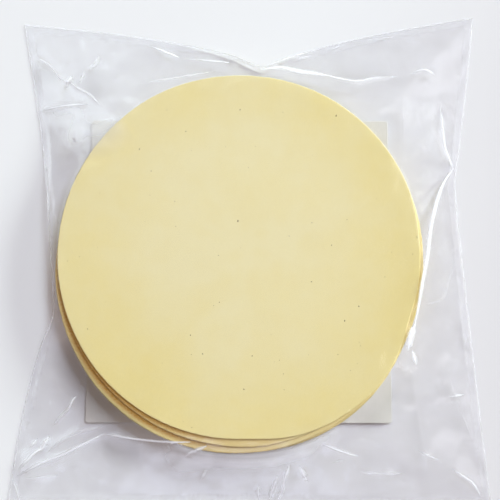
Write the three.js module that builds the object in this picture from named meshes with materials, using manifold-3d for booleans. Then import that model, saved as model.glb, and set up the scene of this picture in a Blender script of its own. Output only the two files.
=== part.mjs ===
// A sealed clear bag lying flat, with a stack of raw papadums on a square of card inside it.
// Millimetres, +Z up. The origin is on the floor, under the middle of the bag's outline.

import * as THREE from 'three';
import { mergeVertices } from 'three/addons/utils/BufferGeometryUtils.js';
import Module from 'manifold-3d';

const wasm = await Module();
wasm.setup();

// Papadums: the first lies on the card, the last is the one that shows whole from above.
const PAPADUM_COUNT = 10;
const PAPADUM_RADIUS = 89.8;
const PAPADUM_THICKNESS = 0.6;
const PAPADUM_WAVE = 0.3;
const PAPADUM_WAVE_TURN = 0.15;
const PAPADUM_OUTLINE_WAVE = 0.35;
const PAPADUM_STEPS = 60;
const PAPADUM_RING_SHARES = [0.7];

// The stack leans: its lower papadums lie further forward than the top two.
const STACK_CENTRE = new THREE.Vector2(-4.35, -0.72);
const STACK_GROUPS = [
  { last: 3, offset: new THREE.Vector2(-0.9, -5.9) },
  { last: 6, offset: new THREE.Vector2(0.1, -6.1) },
  { last: 8, offset: new THREE.Vector2(-1.3, -5.8) },
  { last: 9, offset: new THREE.Vector2(1.1, -3.1) },
  { last: PAPADUM_COUNT, offset: new THREE.Vector2(0, 0) },
];
const STACK_JITTER = 0.35;
const STACK_SEED = 7;

// A piece that lies on another keeps this gap to it.
const GAP = 0.32;

const CARD_WIDTH = 150.5;
const CARD_LENGTH = 151.4;
const CARD_THICKNESS = 0.6;
const CARD_TURN = THREE.MathUtils.degToRad(-0.15);
const CARD_CENTRE = new THREE.Vector2(-4.9, -7.42);

// The bag: corners counter-clockwise from the front left, each drawn in from the bag's full size.
const BAG_WIDTH = 236.3;
const BAG_LENGTH = 246.3;
const FILM_WALL = 0.6;
const CORNERS = [
  { across: -1, along: -1, inset: [0, 0.4] },
  { across: 1, along: -1, inset: [0, 0] },
  { across: 1, along: 1, inset: [2.1, 0] },
  { across: -1, along: 1, inset: [1.7, 3.7] },
].map(({ across, along, inset }) => new THREE.Vector2(
  across * (BAG_WIDTH / 2 - inset[0]),
  along * (BAG_LENGTH / 2 - inset[1]),
));

// Each side, from one corner to the next, is drawn in by its contents, most at one place along it,
// and is lifted off the floor there. The lower the two powers, before and after that place, the tauter
// the edge runs from there to the corner.
const SIDES = [
  { name: 'front', bow: 1, deepest: 0.5, powers: [1.5, 1.5], lift: 0.3 },
  { name: 'right', bow: 12.4, deepest: 0.645, powers: [1.1, 0.82], lift: 1 },
  { name: 'rear', bow: 26.2, deepest: 0.476, powers: [0.5, 0.34], lift: 2.5 },
  { name: 'left', bow: 20.8, deepest: 0.623, powers: [1.47, 0.38], lift: 6.6 },
];
const BOW_ROUNDING = 0.03;
const SIDE_STEPS = 36;
const EDGE_THICKNESS = 0.7;

// The film falls from the stack's rim to the bag's edge, straight on a short run and sagging on a long one.
const SKIRT_STEPS = 9;
const SAG = 0.8;
const SAG_STARTS = 30;
const SAG_FULL = 60;
const ROOF_RING_SHARE = 0.5;

// Folds that the stack pulls into the film, as lines on the floor plan measured from the stack's middle.
const FOLD_WIDTH = 11;
const FOLDS = [
  { name: 'front left, outer', from: [-109, -110], to: [-83, -73], height: 1.8 },
  { name: 'front left, inner', from: [-109, -111], to: [-68, -90], height: 2.2 },
  { name: 'front right', from: [118, -117], to: [90, -99], height: 1.8 },
  { name: 'rear left, outer', from: [-106, 74], to: [-77, 75], height: 1.2 },
  { name: 'rear left, inner', from: [-108, 116], to: [-70, 74], height: 2 },
  { name: 'rear right, outer', from: [101, 76], to: [107, 44], height: 1.6 },
  { name: 'right side', from: [107, 44], to: [92, -2], height: 1.6 },
  { name: 'rear right, inner', from: [112, 115], to: [84, 88], height: 1.6 },
];

const PAPADUM_LOOK = { color: 0xe8dcab, roughness: 0.75, metalness: 0 };
const CARD_LOOK = { color: 0xd9d6cf, roughness: 0.8, metalness: 0 };
const FILM_LOOK = { color: 0xe3e7ec, roughness: 0.12, metalness: 0, transparent: true, opacity: 0.3 };

// Levels, from the floor up.
const CARD_BOTTOM = FILM_WALL + GAP;
const STACK_BOTTOM = CARD_BOTTOM + CARD_THICKNESS + GAP;
const PITCH = PAPADUM_THICKNESS + GAP;
const STACK_TOP = STACK_BOTTOM + (PAPADUM_COUNT - 1) * PITCH + PAPADUM_THICKNESS;
const ROOF_BOTTOM = STACK_TOP + PAPADUM_WAVE + GAP;
const ROOF_TOP = ROOF_BOTTOM + FILM_WALL;
const ROOM_RADIUS = PAPADUM_RADIUS + 2 * PAPADUM_OUTLINE_WAVE + STACK_JITTER;
const RIM_RADIUS = ROOM_RADIUS + 3 * FILM_WALL;

function seededRandom(seed) {
  let state = seed;
  return () => {
    state = (state * 1664525 + 1013904223) % 4294967296;
    return state / 4294967296;
  };
}

// A closed solid through rings of points, from the middle of its underside, round the edge
// and over the top to the middle there. Every ring runs counter-clockwise seen from above.
function loftGeometry(rings, bottomMiddle, topMiddle) {
  const count = rings[0].length;
  const points = [bottomMiddle, ...rings.flat(), topMiddle];
  const top = points.length - 1;
  const at = (ring, i) => 1 + ring * count + (i % count);
  const index = [];
  for (let i = 0; i < count; i += 1) {
    index.push(0, at(0, i + 1), at(0, i));
    for (let ring = 0; ring + 1 < rings.length; ring += 1) {
      index.push(at(ring, i), at(ring, i + 1), at(ring + 1, i + 1));
      index.push(at(ring, i), at(ring + 1, i + 1), at(ring + 1, i));
    }
    index.push(at(rings.length - 1, i), at(rings.length - 1, i + 1), top);
  }
  const geometry = new THREE.BufferGeometry().setFromPoints(points);
  geometry.setIndex(index);
  geometry.computeVertexNormals();
  return geometry;
}

function toManifold(geometry) {
  const bare = geometry.clone();
  bare.deleteAttribute('normal');
  bare.deleteAttribute('uv');
  const merged = mergeVertices(bare);
  return new wasm.Manifold(new wasm.Mesh({
    numProp: 3,
    vertProperties: Float32Array.from(merged.attributes.position.array),
    triVerts: Uint32Array.from(merged.index.array),
  }));
}

function fromManifold(solid) {
  const mesh = solid.getMesh();
  const geometry = new THREE.BufferGeometry();
  geometry.setAttribute('position', new THREE.BufferAttribute(mesh.vertProperties, 3));
  geometry.setIndex(new THREE.BufferAttribute(mesh.triVerts, 1));
  geometry.computeVertexNormals();
  return geometry;
}

function makeMesh(name, geometry, look) {
  const mesh = new THREE.Mesh(geometry, new THREE.MeshStandardMaterial(look));
  mesh.name = name;
  return mesh;
}

function groupOf(number) {
  return STACK_GROUPS.find(({ last }) => number <= last);
}

// One papadum, as a thin disc with a gently waved edge. Neighbours wave nearly alike, so they nest.
function papadumGeometry(number, random) {
  const roundness = random() * 2 * Math.PI;
  const raggedness = random() * 2 * Math.PI;
  const waveStart = number * PAPADUM_WAVE_TURN;
  const point = (share, i, level) => {
    const angle = (i / PAPADUM_STEPS) * 2 * Math.PI;
    const outline = PAPADUM_OUTLINE_WAVE * (Math.sin(2 * angle + roundness) + Math.sin(5 * angle + raggedness));
    const radius = share * (PAPADUM_RADIUS + outline);
    const wave = PAPADUM_WAVE * share ** 3 * Math.sin(3 * angle + waveStart);
    return new THREE.Vector3(radius * Math.cos(angle), radius * Math.sin(angle), level + wave);
  };
  const ring = (share, level) => Array.from({ length: PAPADUM_STEPS }, (_, i) => point(share, i, level));
  const outward = [...PAPADUM_RING_SHARES, 1];
  const rings = [
    ...outward.map((share) => ring(share, 0)),
    ...outward.toReversed().map((share) => ring(share, PAPADUM_THICKNESS)),
  ];
  return loftGeometry(rings, point(0, 0, 0), point(0, 0, PAPADUM_THICKNESS));
}

function papadumStack() {
  const random = seededRandom(STACK_SEED);
  const stack = new THREE.Group();
  for (let number = 1; number <= PAPADUM_COUNT; number += 1) {
    const name = `papadum_${String(number).padStart(2, '0')}`;
    const papadum = makeMesh(name, papadumGeometry(number, random), PAPADUM_LOOK);
    const jitter = number < PAPADUM_COUNT ? STACK_JITTER : 0;
    const { offset } = groupOf(number);
    papadum.position.set(
      offset.x + jitter * (random() - 0.5),
      offset.y + jitter * (random() - 0.5),
      STACK_BOTTOM + (number - 1) * PITCH,
    );
    stack.add(papadum);
  }
  stack.position.set(STACK_CENTRE.x, STACK_CENTRE.y, 0);
  return stack;
}

function backingCard() {
  const card = makeMesh('backing_card', new THREE.BoxGeometry(CARD_WIDTH, CARD_LENGTH, CARD_THICKNESS), CARD_LOOK);
  card.position.set(CARD_CENTRE.x, CARD_CENTRE.y, CARD_BOTTOM + CARD_THICKNESS / 2);
  card.rotation.z = CARD_TURN;
  return card;
}

// The bag's outline on the floor plan, each point with the lift of the edge there.
function bagOutline() {
  return SIDES.flatMap(({ bow, deepest, powers, lift }, side) => {
    const start = CORNERS[side];
    const end = CORNERS[(side + 1) % CORNERS.length];
    const along = end.clone().sub(start);
    const inward = new THREE.Vector2(-along.y, along.x).normalize();
    return Array.from({ length: SIDE_STEPS }, (_, i) => {
      const share = i / SIDE_STEPS;
      const reach = share < deepest ? deepest : 1 - deepest;
      const power = share < deepest ? powers[0] : powers[1];
      const slack = (away) => Math.hypot(away, BOW_ROUNDING) ** power;
      const drawn = (slack(1) - slack((share - deepest) / reach)) / (slack(1) - slack(0));
      const place = start.clone().addScaledVector(along, share).addScaledVector(inward, bow * drawn);
      return { place, lift: lift * drawn };
    });
  });
}

// The height that the folds add at a place on the floor plan, measured from the stack's middle.
function foldHeight(x, y) {
  const place = new THREE.Vector3(x, y, 0);
  const nearest = new THREE.Vector3();
  return FOLDS.reduce((sum, { from, to, height }) => {
    const line = new THREE.Line3(new THREE.Vector3(...from, 0), new THREE.Vector3(...to, 0));
    line.closestPointToPoint(place, true, nearest);
    const share = 1 - nearest.distanceTo(place) / FOLD_WIDTH;
    return sum + height * Math.max(0, share);
  }, 0);
}

// The front of the bag: film over the stack, drawn down to the edge, with room for the contents below.
function bagFront(outline) {
  const edgeBottom = FILM_WALL + GAP;
  const reaches = outline.map(({ place, lift }) => {
    const out = place.clone().sub(STACK_CENTRE);
    const run = out.length() - RIM_RADIUS;
    const sag = 1 + SAG * THREE.MathUtils.smoothstep(run, SAG_STARTS, SAG_FULL);
    return { direction: out.normalize(), run, sag, edgeTop: edgeBottom + EDGE_THICKNESS + lift };
  });
  const skirtRing = (share) => reaches.map(({ direction, run, sag, edgeTop }) => {
    const radius = RIM_RADIUS + share * run;
    const [x, y] = [radius * direction.x, radius * direction.y];
    const fall = (1 - share) ** sag;
    // Folds are at full height half way down, and die out at the rim and at the edge.
    const fullness = 1 - (2 * share - 1) ** 2;
    return new THREE.Vector3(x, y, edgeTop + (ROOF_TOP - edgeTop) * fall + foldHeight(x, y) * fullness);
  });
  const flatRing = (share, level) => reaches.map(({ direction }) => new THREE.Vector3(
    share * RIM_RADIUS * direction.x,
    share * RIM_RADIUS * direction.y,
    level,
  ));
  const underside = skirtRing(1).map(({ x, y }) => new THREE.Vector3(x, y, edgeBottom));
  const skirt = Array.from({ length: SKIRT_STEPS + 1 }, (_, i) => skirtRing(1 - i / SKIRT_STEPS));
  const pillow = loftGeometry(
    [underside, ...skirt, flatRing(ROOF_RING_SHARE, ROOF_TOP)],
    new THREE.Vector3(0, 0, edgeBottom),
    new THREE.Vector3(0, 0, ROOF_TOP),
  );
  let film = toManifold(pillow);
  for (const room of contentRooms()) film = film.subtract(toManifold(room));
  const front = makeMesh('bag_front', fromManifold(film), FILM_LOOK);
  front.position.set(STACK_CENTRE.x, STACK_CENTRE.y, 0);
  return front;
}

// The room that the card and each group of papadums takes up inside the bag, open below.
function contentRooms() {
  const rooms = STACK_GROUPS.map(({ last, offset }) => {
    const top = STACK_BOTTOM + last * PITCH + PAPADUM_WAVE;
    const room = new THREE.CylinderGeometry(ROOM_RADIUS, ROOM_RADIUS, top, 2 * PAPADUM_STEPS);
    room.rotateX(Math.PI / 2);
    return room.translate(offset.x, offset.y, top / 2);
  });
  const cardTop = CARD_BOTTOM + CARD_THICKNESS + GAP;
  const cardRoom = new THREE.BoxGeometry(CARD_WIDTH + 2 * GAP, CARD_LENGTH + 2 * GAP, cardTop);
  cardRoom.rotateZ(CARD_TURN);
  const cardPlace = CARD_CENTRE.clone().sub(STACK_CENTRE);
  return [...rooms, cardRoom.translate(cardPlace.x, cardPlace.y, cardTop / 2)];
}

// The back of the bag: a flat sheet of the same outline, lying on the floor.
function bagBack(outline) {
  const ring = (level) => outline.map(({ place }) => new THREE.Vector3(place.x, place.y, level));
  const sheet = loftGeometry(
    [ring(0), ring(FILM_WALL)],
    new THREE.Vector3(0, 0, 0),
    new THREE.Vector3(0, 0, FILM_WALL),
  );
  return makeMesh('bag_back', sheet, FILM_LOOK);
}

const outline = bagOutline();
const bagOfPapadums = new THREE.Group();
bagOfPapadums.add(bagBack(outline), backingCard(), papadumStack(), bagFront(outline));

export default bagOfPapadums;
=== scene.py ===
"""Finish for a sealed clear bag of raw papadums: thin creased film, the leaning stack and its card."""

import math
from typing import NamedTuple

import bpy
import numpy as np
from bpy.props import FloatProperty, FloatVectorProperty, IntProperty, PointerProperty
from mathutils import Matrix, Vector
from mathutils.bvhtree import BVHTree
from mathutils.geometry import delaunay_2d_cdt
from mathutils.kdtree import KDTree


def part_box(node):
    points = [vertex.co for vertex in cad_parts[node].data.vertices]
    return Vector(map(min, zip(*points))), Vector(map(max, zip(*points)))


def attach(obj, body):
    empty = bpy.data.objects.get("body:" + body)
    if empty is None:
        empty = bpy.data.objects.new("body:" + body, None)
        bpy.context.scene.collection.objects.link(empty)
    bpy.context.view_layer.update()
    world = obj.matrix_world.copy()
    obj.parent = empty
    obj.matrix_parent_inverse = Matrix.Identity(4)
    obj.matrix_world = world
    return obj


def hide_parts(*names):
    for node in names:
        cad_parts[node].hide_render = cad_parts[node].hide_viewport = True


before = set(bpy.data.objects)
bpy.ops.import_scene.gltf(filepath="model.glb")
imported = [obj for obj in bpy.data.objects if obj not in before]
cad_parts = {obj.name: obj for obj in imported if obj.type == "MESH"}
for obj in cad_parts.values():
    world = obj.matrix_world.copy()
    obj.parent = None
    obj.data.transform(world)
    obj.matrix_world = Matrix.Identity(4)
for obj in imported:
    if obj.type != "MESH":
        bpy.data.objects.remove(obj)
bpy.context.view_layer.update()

bl_info = {
    "name": "Bag of papadums",
    "version": (1, 0, 0),
    "blender": (4, 5, 0),
    "location": "View3D > Sidebar > Papadums",
    "description": "Builds a clear film bag round a stack of raw papadums on a card",
    "category": "Object",
}

MM = 0.001
BODY = "root"
PAPADUM_NODES = sorted(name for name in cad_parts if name.startswith("papadum_"))
TOP_NODE = PAPADUM_NODES[-1]
TOP_LOW, TOP_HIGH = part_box(TOP_NODE)
STACK_MIDDLE = (TOP_LOW + TOP_HIGH) / 2
STACK_RADIUS = (TOP_HIGH.x - TOP_LOW.x + TOP_HIGH.y - TOP_LOW.y) / 4
# The stack on the floor plan in millimetres, in which the film is worked out.
PLAN_MIDDLE = np.array(STACK_MIDDLE[:2]) / MM
PLAN_RADIUS = STACK_RADIUS / MM


class Crease(NamedTuple):
    """A crease in the film, in millimetres, with its way over the floor plan from the stack's middle."""

    name: str
    way: tuple
    fold_width: float = 5
    fold: float = 0.3
    crest: float = 0.3
    line: float = 0.55
    white: tuple = (0.8, 0.8)
    painted_light_and_shade: tuple = (0, 0)
    painted_light_reach: float = 20


def facet(name, way, painted_light_and_shade, reach):
    """A patch of painted sheen or painted shade on the film, with no ridge, fold or white line: it shows by
    lighter or darker sides alone.
    """
    return Crease(name, way, fold=0, crest=0, line=0.5, white=(0, 0), painted_light_and_shade=painted_light_and_shade, painted_light_reach=reach)


# The fold is a wide low ridge and the crest a sharp one on it, whose line is as white as its two ends say:
# partly the film's whitening, partly a painted highlight.
# Its painted light and shade say how much lighter (painted sheen) or darker (painted shade) than clear film
# the sides left and right of the way look.
CREASES = (
    Crease("front left, outer", ((-108, -105), (-104, -101), (-100, -97), (-97, -95)),
           9, 0.8, 0.5, 0.9, (0.8, 1), (0.12, 0)),
    Crease("front left, outer blotch", ((-98, -96), (-96, -94), (-95, -92), (-94, -90)),
           5, 0.3, 0.2, 1.6, (1, 1)),
    Crease("front left, outer end", ((-91, -84), (-88, -80), (-83, -75), (-81, -71), (-80, -70)),
           8, 0.8, 0.5, 0.9, (0.3, 1)),
    Crease("front left, inner", ((-108, -108), (-97, -102), (-87, -98), (-75, -92), (-67, -88)),
           11, 1.2, 0.6, 0.9, (0.8, 1), (0, 0.12), 30),
    Crease("front left, to the rim",
           ((-67, -88), (-63, -88), (-56, -89), (-48, -90), (-36, -91), (-24, -91)),
           9, 1.0, 0.5, 0.8, (1, 0.9), (0, 0.1), 16),
    # Painted shadow: dark film in the pockets at the front left and under the fold there, where the stack's
    # shadow falls.
    facet("front left, pocket", ((-83, -40), (-78, -51), (-70, -63), (-58, -74.5), (-40, -86)),
          (0, -0.25), 16),
    facet("front left, outer pocket", ((-87, -42), (-80, -60), (-69, -74), (-58, -84)), (-0.17, -0.17), 10),
    facet("front left, under the fold", ((-68, -92), (-58, -96.5), (-46, -97)), (-0.19, -0.19), 10),
    Crease("front left, faint", ((-93, -96), (-88, -92), (-83, -89), (-76, -86), (-67, -84)),
           5, 0.3, 0.2, 1.2, (0.3, 0.2)),
    Crease("front left, spot", ((-102, -94), (-100, -91)), 4, 0.2, 0.1, 1.3, (0.9, 0.9)),
    Crease("front left, low", ((-104, -109), (-89, -108)), 4, 0.2, 0.2, 0.5, (0.3, 0.3)),
    Crease("front left corner", ((-111, -111), (-109, -115), (-108, -119)), 3, 0.1, 0.2, 0.9, (0.7, 0.5)),
    Crease("front, from the rim", ((-16, -93), (-21, -95), (-25, -97), (-26, -98)),
           5, 0.4, 0.2, 1.3, (0.6, 1)),
    Crease("front, short", ((-16, -105), (-19, -110)), 4, 0.3, 0.3, 0.6, (0.5, 0.5)),
    Crease("front, to the edge", ((24, -103), (22, -109), (21, -114), (18, -121)),
           5, 0.5, 0.2, 1.2, (0.8, 1)),
    Crease("front, to the edge, beside", ((18, -109), (16, -115), (14, -121)), 4, 0.3, 0.2, 1.4, (0.8, 1)),
    Crease("front, to the edge, low", ((9, -113), (9, -121)), 3, 0.2, 0.3, 0.9, (0.7, 0.7)),
    Crease("front, spot", ((29, -103), (32, -109)), 4, 0.2, 0.1, 1.6, (0.7, 1)),
    Crease("front, right of the middle", ((40, -92), (47, -95), (56, -98)), 5, 0.4, 0.4, 0.9, (0.7, 0.9)),
    Crease("front, right of the middle, spot", ((46, -101), (50, -100)), 3, 0.2, 0.2, 0.8, (0.7, 0.7)),
    # Painted sheen: lighter film at the front, along and beyond the rim, over the stack's shadow.
    facet("front, light facet", ((-45, -95), (-32, -95.5), (-18, -97.5), (0, -99), (18, -98), (40, -92)),
          (0, 0.3), 14),
    facet("front, light spot", ((-37, -99.5), (-25, -101.5), (-12, -101.5)), (0.2, 0.2), 10),
    facet("front, at the rim",
          ((-37.5, -88.2), (-20, -94.5), (0, -96.3), (20, -94), (39, -87.5), (49, -81)),
          (0.04, 0.6), 9),
    Crease("front, long", ((60, -106), (70, -107), (79, -107)), 6, 0.4, 0.3, 0.8, (0.4, 0.3), (0.05, 0.08)),
    Crease("front right", ((87, -96), (91, -98), (96, -100)), 6, 0.5, 0.3, 0.6, (0.4, 0.6)),
    Crease("front right corner", ((104, -105), (110, -109), (113, -111), (117, -117)),
           7, 0.6, 0.4, 0.6, (0.5, 0.8)),
    Crease("front right, spot", ((104, -70), (110, -69)), 4, 0.3, 0.3, 0.8, (0.5, 0.6)),
    Crease("front right, down", ((84, -55), (86, -71), (89, -90), (92, -107)),
           8, 0.9, 0.0, 0.5, (0, 0), (0.03, -0.08), 8),
    # Painted shade: darker film over the card at the front right.
    facet("front right, over the card", ((56, -84), (68, -76), (79, -63)), (-0.09, -0.09), 10),
    Crease("right side, end", ((85, -36), (84, -38), (82, -46)), 5, 0.4, 0.4, 2.2, (0.9, 1)),
    Crease("right side, spot", ((84, -48), (86, -54)), 4, 0.2, 0.3, 1.5, (0.8, 0.8)),
    Crease("right side",
           ((108, 44), (103, 37), (98, 25), (94, 10), (92, -2), (89, -15), (87, -26), (85, -36)),
           6, 0.6, 0.5, 1.2, (1, 0.9)),
    Crease("right side, streak", ((109, 2), (104, -13), (100, -22), (92, -25)),
           9, 0.4, 0.0, 1.0, (0.1, 0.15), (0.04, 0.08), 10),
    Crease("right side, facet", ((110, -32), (113, -40), (113, -48)),
           6, 0.5, 0.0, 0.5, (0, 0), (0, -0.06), 8),
    Crease("front right, facet", ((103, -60), (108, -75), (115, -92)),
           8, 0.5, 0.0, 0.6, (0.1, 0.1), (0.03, -0.05), 10),
    Crease("rear right, outer", ((102, 76), (103, 62), (104, 54), (107, 47), (108, 44)),
           6, 0.6, 0.5, 0.8, (0.5, 1), (0, 0.12), 18),
    Crease("rear right, beside the card", ((81, 81), (81, 62), (80, 45)),
           6, 0.3, 0.0, 0.5, (0, 0), (0.1, -0.03), 18),
    Crease("rear right, dark", ((102, 83), (108, 77), (113, 71), (113, 66)),
           5, 0.6, 0.0, 0.5, (0, 0), (0, -0.14), 4),
    Crease("rear right, short", ((88, 93), (94, 95), (99, 93)), 4, 0.4, 0.4, 0.7, (0.6, 1), (0, -0.07), 9),
    Crease("rear, along the rim", ((11, 94), (20, 95), (30, 93), (43, 91)), 4, 0.4, 0.5, 1.6, (0.8, 1)),
    Crease("rear, beyond the rim", ((43, 91), (50, 89), (60, 88), (68, 90), (78, 91)),
           5, 0.5, 0.5, 0.8, (1, 0.3), (-0.08, 0), 12),
    Crease("rear, left of the middle", ((-45, 108), (-39, 105), (-32, 102)), 5, 0.4, 0.4, 0.7, (0.6, 0.9)),
    Crease("rear, near the middle", ((-27, 101), (-16, 99), (-6, 98)), 4, 0.3, 0.4, 0.7, (0.5, 0.8)),
    Crease("rear, over the rim", ((-46, 87), (-38, 88), (-25, 90), (-14, 92)),
           4, 0.3, 0.3, 0.6, (0.7, 0.5)),
    Crease("rear left, inner start", ((-106, 103), (-97, 97), (-91, 90), (-87, 89)),
           9, 0.9, 0.4, 0.55, (0.2, 0.5), (0.02, -0.13), 18),
    Crease("rear left, inner", ((-87, 89), (-84, 86), (-76, 81), (-70, 75)),
           8, 0.8, 0.5, 0.7, (1, 1), (-0.1, 0), 14),
    Crease("rear left, spot", ((-88, 87), (-86, 91)), 4, 0.3, 0.1, 2.2, (0.9, 0.9)),
    Crease("rear left, outer", ((-102, 74), (-97, 75), (-87, 76), (-77, 76)),
           6, 0.6, 0.4, 0.8, (1, 0.7), (0.12, 0.3), 30),
    # Painted sheen: lighter film over the card's rear left corner.
    facet("rear left, over the card", ((-86, 66), (-72, 62), (-60, 70)), (0.33, 0.33), 16),
    Crease("rear left, crinkle", ((-77, 96), (-74, 98), (-73, 102)), 4, 0.3, 0.2, 1.8, (0.5, 0.4)),
    Crease("rear left, short crinkle", ((-81, 89), (-80, 93)), 3, 0.2, 0.2, 1.3, (0.5, 0.3)),
    Crease("rear right, near the edge", ((30, 101.5), (36, 103)), 3, 0.3, 0.3, 0.6, (0.6, 0.6)),
    Crease("rear right, at the edge", ((46, 106.5), (51, 108)), 3, 0.2, 0.3, 0.7, (0.7, 0.7)),
    Crease("rear right, along the edge", ((67, 111.5), (74, 112.5), (78, 113.5)),
           4, 0.3, 0.3, 0.6, (0.4, 0.4)),
)
# How a crease spreads from its way in millimetres, and how its line narrows to the tips.
CREST_REACH = 1.9
PAINTED_LIGHT_RISE = 1.5
LINE_TIP = 0.3
LINE_TAPER = 4
WAY_STEP = 1.5
WAY_EDGE_ROOM = 1
# Short creases strewn over the film, in millimetres. Their reach is in stack radii, their stray in radians.
CRINKLE_SEED = 17
CRINKLE_REACH = (1.04, 1.5)
CRINKLE_STRAY = 0.7
CRINKLE_HALF = (2.5, 8)
CRINKLE_FOLD = (0.05, 0.3)
CRINKLE_CREST = (0, 0.2)
CRINKLE_WIDTH = (2, 5)
CRINKLE_ROOM = 3
RIPPLE_SEED = 29
RIPPLE_WAVES = 30
RIPPLE_LENGTHS = (9, 26)
# The bag's shape in millimetres. Film is slack, and so can crease, away from the edge and the stack's roof.
RIM_CLEARANCE = 0.4
TIGHT_ROOM = (2.5, 26)
SAG_SPANS = (30, 60)
LEAST_SPAN = 0.5
BACK_HEIGHT = 0.08
EDGE_LINE = 0.6
EDGE_CURL = 1.2
EDGE_SLACK = 6
ROOF_SLACK = (0.84 * PLAN_RADIUS, 0.96 * PLAN_RADIUS)
PATCH_START = (PLAN_RADIUS + 1, PLAN_RADIUS + 8)
# The film's mesh: steps along its rings, then distances in millimetres that keep its points apart.
SIDE_STEPS = 100
RING_STEPS = 240
RINGS_AT_RIM = (-4, -1.5, RIM_CLEARANCE, 2)
COARSER = 4
FINE_FROM = ROOF_SLACK[0]
COARSE_TO = 0.82 * PLAN_RADIUS
LOOSE_ROOM = 0.3
FILL_ROOM = 1.0
FILL_GAP = 0.8
SAME_PLACE = 1e-4
SHARED_EDGE = 1e-3


class Lamp(NamedTuple):
    """A soft square light: direction and width in degrees, and the colour it would give a white floor."""

    name: str
    azimuth: float
    elevation: float
    width: float
    light: tuple
    gleam: bool = False


# A gleam shows in reflections alone. The other lamps light everything, but don't show in reflections.
LAMP_DISTANCE = 6.0
LAMPS = (
    Lamp("low window", 26, 16.5, 12, (0.275, 0.305, 0.290)),
    Lamp("high window", 45, 45, 20, (0.365, 0.405, 0.490)),
    Lamp("rear window", 75, 25, 12, (0.050, 0.062, 0.035)),
    Lamp("ceiling", 240, 70, 24, (0.110, 0.108, 0.145)),
    Lamp("window gleam", 26, 17, 12, (0.016, 0.018, 0.017), True),
    Lamp("front gleam", 265, 40, 24, (0.09, 0.097, 0.118), True),
    Lamp("left gleam", 152, 42, 34, (0.25, 0.285, 0.29), True),
    Lamp("rear gleam", 112, 57, 26, (0.055, 0.063, 0.063), True),
    Lamp("right gleam", 15, 59, 31, (0.235, 0.235, 0.24), True),
)


class FilmLook(bpy.types.PropertyGroup):
    """Sizes and finish of the bag's film."""

    tint: FloatVectorProperty(
        name="Tint", description="Colour the film gives to light that passes through it",
        default=(0.994, 0.994, 0.996), min=0, max=1, size=3, subtype="COLOR")
    shine: FloatProperty(
        name="Shine", description="Share of light the film reflects when seen square on",
        default=0.03, min=0, max=1, subtype="FACTOR")
    roughness: FloatProperty(
        name="Roughness", description="Blur of the film's reflections",
        default=0.17, min=0, max=1, subtype="FACTOR")
    sheen: FloatVectorProperty(
        name="Sheen", description="Colour of the film's reflections",
        default=(0.97, 0.98, 1.0), min=0, max=1, size=3, subtype="COLOR")
    # Partly the film's whitening at creases and at the welded seam, partly painted highlights and painted
    # sheen: the pale colour of the film's white marks.
    cloudy: FloatVectorProperty(
        name="Cloudy", description="Colour of film that is white from creasing",
        default=(0.91, 0.92, 0.96), min=0, max=1, size=3, subtype="COLOR")
    # Painted shade: the dark colour mixed into the film where it stands for the stack's shadow and for dark
    # reflections, not a colour of the film itself.
    painted_shade_colour: FloatVectorProperty(
        name="Dull", description="Colour of film that is dark from facing away",
        default=(0.09, 0.07, 0.06), min=0, max=1, size=3, subtype="COLOR")
    seal_width: FloatProperty(
        name="Seal width", description="Width of the welded band along the bag's edge",
        default=4.5 * MM, min=0, unit="LENGTH")
    seal_white: FloatProperty(
        name="Seal white", description="How cloudy the welded band is",
        default=0.14, min=0, max=1, subtype="FACTOR")
    # Painted highlight: the pale line along the bag's cut edge.
    edge_white: FloatProperty(
        name="Edge white", description="How white the cut edge looks",
        default=0.3, min=0, max=1, subtype="FACTOR")
    edge_height: FloatProperty(
        name="Edge height", description="Height of the welded edge where it lies on the floor",
        default=0.35 * MM, min=0, unit="LENGTH")
    edge_lift: FloatProperty(
        name="Edge lift", description="How far the edge rises where it is drawn tight against the stack",
        default=6.0 * MM, min=0, unit="LENGTH")
    roof_gap: FloatProperty(
        name="Roof gap", description="Height of the film over the top papadum",
        default=0.1 * MM, min=0, unit="LENGTH")
    sag: FloatProperty(
        name="Sag", description="How much a long run of film hangs below the straight line",
        default=0.8, min=0)
    ripple: FloatProperty(
        name="Ripple", description="Height of the film's soft unevenness",
        default=0.2 * MM, min=0, unit="LENGTH")
    # Painted sheen and painted shade: lighter and darker patches where the uneven film would mirror its
    # surroundings.
    patches: FloatProperty(
        name="Patches", description="How much lighter and darker the uneven film looks in patches",
        default=0.036, min=0, max=1, subtype="FACTOR")
    crinkles: IntProperty(
        name="Crinkles", description="Number of short creases besides the long ones",
        default=90, min=0)
    spacing: FloatProperty(
        name="Spacing", description="Distance between mesh points in the film's slopes",
        default=2.0 * MM, min=0.5 * MM, unit="LENGTH")


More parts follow.
